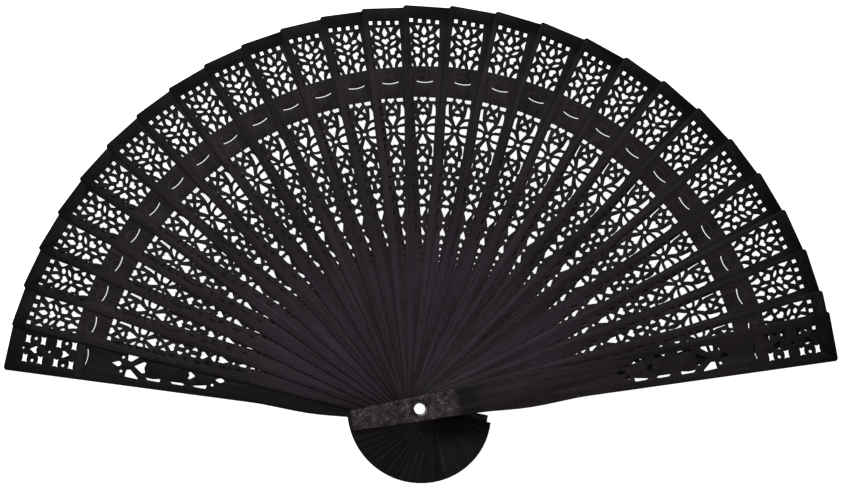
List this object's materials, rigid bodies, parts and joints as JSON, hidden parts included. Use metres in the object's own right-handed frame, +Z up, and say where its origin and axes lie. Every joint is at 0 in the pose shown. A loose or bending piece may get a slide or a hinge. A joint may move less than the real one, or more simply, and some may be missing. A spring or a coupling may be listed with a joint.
{
  "type": "folding hand fan",
  "caption": "Folding hand fan of black-stained pierced wooden sticks between two thicker guards, joined by a hollow metal eyelet and a narrow ribbon, shown open.",
  "frame": {"origin": "on the pivot axis, in the plane of the outer face of the back guard, which the fan lies on", "axes": "+Z up along the pivot axis, from the back guard to the front guard; +Y the way the open fan spreads; +X towards the front guard, across the spread"},
  "size_m": [0.3384, 0.1996, 0.0157],
  "materials": {
    "stick_wood": "black stain, satin",
    "guard_wood": "black stain, satin, rubbed grey at the butt",
    "ribbon": "satin",
    "metal": "dull nickel plate"
  },
  "bodies": {
    "back_guard": {"back_guard": "guard_wood", "ribbon_back": "ribbon", "eyelet": "metal", "washer": "metal"},
    "stick_01": {"stick_01": "stick_wood", "ribbon_01": "ribbon"},
    "stick_02": {"stick_02": "stick_wood", "ribbon_02": "ribbon"},
    "stick_03": {"stick_03": "stick_wood", "ribbon_03": "ribbon"},
    "stick_04": {"stick_04": "stick_wood", "ribbon_04": "ribbon"},
    "stick_05": {"stick_05": "stick_wood", "ribbon_05": "ribbon"},
    "stick_06": {"stick_06": "stick_wood", "ribbon_06": "ribbon"},
    "stick_07": {"stick_07": "stick_wood", "ribbon_07": "ribbon"},
    "stick_08": {"stick_08": "stick_wood", "ribbon_08": "ribbon"},
    "stick_09": {"stick_09": "stick_wood", "ribbon_09": "ribbon"},
    "stick_10": {"stick_10": "stick_wood", "ribbon_10": "ribbon"},
    "stick_11": {"stick_11": "stick_wood", "ribbon_11": "ribbon"},
    "stick_12": {"stick_12": "stick_wood", "ribbon_12": "ribbon"},
    "stick_13": {"stick_13": "stick_wood", "ribbon_13": "ribbon"},
    "stick_14": {"stick_14": "stick_wood", "ribbon_14": "ribbon"},
    "stick_15": {"stick_15": "stick_wood", "ribbon_15": "ribbon"},
    "stick_16": {"stick_16": "stick_wood", "ribbon_16": "ribbon"},
    "stick_17": {"stick_17": "stick_wood", "ribbon_17": "ribbon"},
    "stick_18": {"stick_18": "stick_wood", "ribbon_18": "ribbon"},
    "stick_19": {"stick_19": "stick_wood", "ribbon_19": "ribbon"},
    "stick_20": {"stick_20": "stick_wood", "ribbon_20": "ribbon"},
    "stick_21": {"stick_21": "stick_wood", "ribbon_21": "ribbon"},
    "stick_22": {"stick_22": "stick_wood", "ribbon_22": "ribbon"},
    "stick_23": {"stick_23": "stick_wood", "ribbon_23": "ribbon"},
    "stick_24": {"stick_24": "stick_wood", "ribbon_24": "ribbon"},
    "stick_25": {"stick_25": "stick_wood", "ribbon_25": "ribbon"},
    "stick_26": {"stick_26": "stick_wood", "ribbon_26": "ribbon"},
    "front_guard": {"front_guard": "guard_wood", "ribbon_front": "ribbon"}
  },
  "joints": [
    {"name": "fan_fold", "type": "hinge", "parent": "back_guard", "child": "front_guard", "pos_m": [0, 0, 0], "axis": [0, 0, 1], "range_deg": [0, 160.3]},
    {"name": "stick_01_turn", "type": "hinge", "parent": "back_guard", "child": "stick_01", "pos_m": [0, 0, 0], "axis": [0, 0, 1], "range_deg": [0, 5.61]},
    {"name": "stick_02_turn", "type": "hinge", "parent": "back_guard", "child": "stick_02", "pos_m": [0, 0, 0], "axis": [0, 0, 1], "range_deg": [0, 11.21]},
    {"name": "stick_03_turn", "type": "hinge", "parent": "back_guard", "child": "stick_03", "pos_m": [0, 0, 0], "axis": [0, 0, 1], "range_deg": [0, 16.81]},
    {"name": "stick_04_turn", "type": "hinge", "parent": "back_guard", "child": "stick_04", "pos_m": [0, 0, 0], "axis": [0, 0, 1], "range_deg": [0, 22.41]},
    {"name": "stick_05_turn", "type": "hinge", "parent": "back_guard", "child": "stick_05", "pos_m": [0, 0, 0], "axis": [0, 0, 1], "range_deg": [0, 28.01]},
    {"name": "stick_06_turn", "type": "hinge", "parent": "back_guard", "child": "stick_06", "pos_m": [0, 0, 0], "axis": [0, 0, 1], "range_deg": [0, 33.91]},
    {"name": "stick_07_turn", "type": "hinge", "parent": "back_guard", "child": "stick_07", "pos_m": [0, 0, 0], "axis": [0, 0, 1], "range_deg": [0, 39.81]},
    {"name": "stick_08_turn", "type": "hinge", "parent": "back_guard", "child": "stick_08", "pos_m": [0, 0, 0], "axis": [0, 0, 1], "range_deg": [0, 45.71]},
    {"name": "stick_09_turn", "type": "hinge", "parent": "back_guard", "child": "stick_09", "pos_m": [0, 0, 0], "axis": [0, 0, 1], "range_deg": [0, 51.61]},
    {"name": "stick_10_turn", "type": "hinge", "parent": "back_guard", "child": "stick_10", "pos_m": [0, 0, 0], "axis": [0, 0, 1], "range_deg": [0, 57.51]},
    {"name": "stick_11_turn", "type": "hinge", "parent": "back_guard", "child": "stick_11", "pos_m": [0, 0, 0], "axis": [0, 0, 1], "range_deg": [0, 63.41]},
    {"name": "stick_12_turn", "type": "hinge", "parent": "back_guard", "child": "stick_12", "pos_m": [0, 0, 0], "axis": [0, 0, 1], "range_deg": [0, 69.31]},
    {"name": "stick_13_turn", "type": "hinge", "parent": "back_guard", "child": "stick_13", "pos_m": [0, 0, 0], "axis": [0, 0, 1], "range_deg": [0, 75.21]},
    {"name": "stick_14_turn", "type": "hinge", "parent": "back_guard", "child": "stick_14", "pos_m": [0, 0, 0], "axis": [0, 0, 1], "range_deg": [0, 81.11]},
    {"name": "stick_15_turn", "type": "hinge", "parent": "back_guard", "child": "stick_15", "pos_m": [0, 0, 0], "axis": [0, 0, 1], "range_deg": [0, 87.61]},
    {"name": "stick_16_turn", "type": "hinge", "parent": "back_guard", "child": "stick_16", "pos_m": [0, 0, 0], "axis": [0, 0, 1], "range_deg": [0, 94.11]},
    {"name": "stick_17_turn", "type": "hinge", "parent": "back_guard", "child": "stick_17", "pos_m": [0, 0, 0], "axis": [0, 0, 1], "range_deg": [0, 100.61]},
    {"name": "stick_18_turn", "type": "hinge", "parent": "back_guard", "child": "stick_18", "pos_m": [0, 0, 0], "axis": [0, 0, 1], "range_deg": [0, 107.11]},
    {"name": "stick_19_turn", "type": "hinge", "parent": "back_guard", "child": "stick_19", "pos_m": [0, 0, 0], "axis": [0, 0, 1], "range_deg": [0, 113.31]},
    {"name": "stick_20_turn", "type": "hinge", "parent": "back_guard", "child": "stick_20", "pos_m": [0, 0, 0], "axis": [0, 0, 1], "range_deg": [0, 119.51]},
    {"name": "stick_21_turn", "type": "hinge", "parent": "back_guard", "child": "stick_21", "pos_m": [0, 0, 0], "axis": [0, 0, 1], "range_deg": [0, 125.71]},
    {"name": "stick_22_turn", "type": "hinge", "parent": "back_guard", "child": "stick_22", "pos_m": [0, 0, 0], "axis": [0, 0, 1], "range_deg": [0, 131.91]},
    {"name": "stick_23_turn", "type": "hinge", "parent": "back_guard", "child": "stick_23", "pos_m": [0, 0, 0], "axis": [0, 0, 1], "range_deg": [0, 138.11]},
    {"name": "stick_24_turn", "type": "hinge", "parent": "back_guard", "child": "stick_24", "pos_m": [0, 0, 0], "axis": [0, 0, 1], "range_deg": [0, 144.31]},
    {"name": "stick_25_turn", "type": "hinge", "parent": "back_guard", "child": "stick_25", "pos_m": [0, 0, 0], "axis": [0, 0, 1], "range_deg": [0, 150.51]},
    {"name": "stick_26_turn", "type": "hinge", "parent": "back_guard", "child": "stick_26", "pos_m": [0, 0, 0], "axis": [0, 0, 1], "range_deg": [0, 156.71]}
  ],
  "couplings": [
    {"joint": "stick_01_turn", "follows": "fan_fold", "ratio": 0.03493},
    {"joint": "stick_02_turn", "follows": "fan_fold", "ratio": 0.06987},
    {"joint": "stick_03_turn", "follows": "fan_fold", "ratio": 0.1048},
    {"joint": "stick_04_turn", "follows": "fan_fold", "ratio": 0.13974},
    {"joint": "stick_05_turn", "follows": "fan_fold", "ratio": 0.17467},
    {"joint": "stick_06_turn", "follows": "fan_fold", "ratio": 0.21148},
    {"joint": "stick_07_turn", "follows": "fan_fold", "ratio": 0.24828},
    {"joint": "stick_08_turn", "follows": "fan_fold", "ratio": 0.28509},
    {"joint": "stick_09_turn", "follows": "fan_fold", "ratio": 0.3219},
    {"joint": "stick_10_turn", "follows": "fan_fold", "ratio": 0.3587},
    {"joint": "stick_11_turn", "follows": "fan_fold", "ratio": 0.39551},
    {"joint": "stick_12_turn", "follows": "fan_fold", "ratio": 0.43231},
    {"joint": "stick_13_turn", "follows": "fan_fold", "ratio": 0.46912},
    {"joint": "stick_14_turn", "follows": "fan_fold", "ratio": 0.50593},
    {"joint": "stick_15_turn", "follows": "fan_fold", "ratio": 0.54648},
    {"joint": "stick_16_turn", "follows": "fan_fold", "ratio": 0.58702},
    {"joint": "stick_17_turn", "follows": "fan_fold", "ratio": 0.62757},
    {"joint": "stick_18_turn", "follows": "fan_fold", "ratio": 0.66812},
    {"joint": "stick_19_turn", "follows": "fan_fold", "ratio": 0.7068},
    {"joint": "stick_20_turn", "follows": "fan_fold", "ratio": 0.74548},
    {"joint": "stick_21_turn", "follows": "fan_fold", "ratio": 0.78415},
    {"joint": "stick_22_turn", "follows": "fan_fold", "ratio": 0.82283},
    {"joint": "stick_23_turn", "follows": "fan_fold", "ratio": 0.86151},
    {"joint": "stick_24_turn", "follows": "fan_fold", "ratio": 0.90019},
    {"joint": "stick_25_turn", "follows": "fan_fold", "ratio": 0.93886},
    {"joint": "stick_26_turn", "follows": "fan_fold", "ratio": 0.97754}
  ]
}
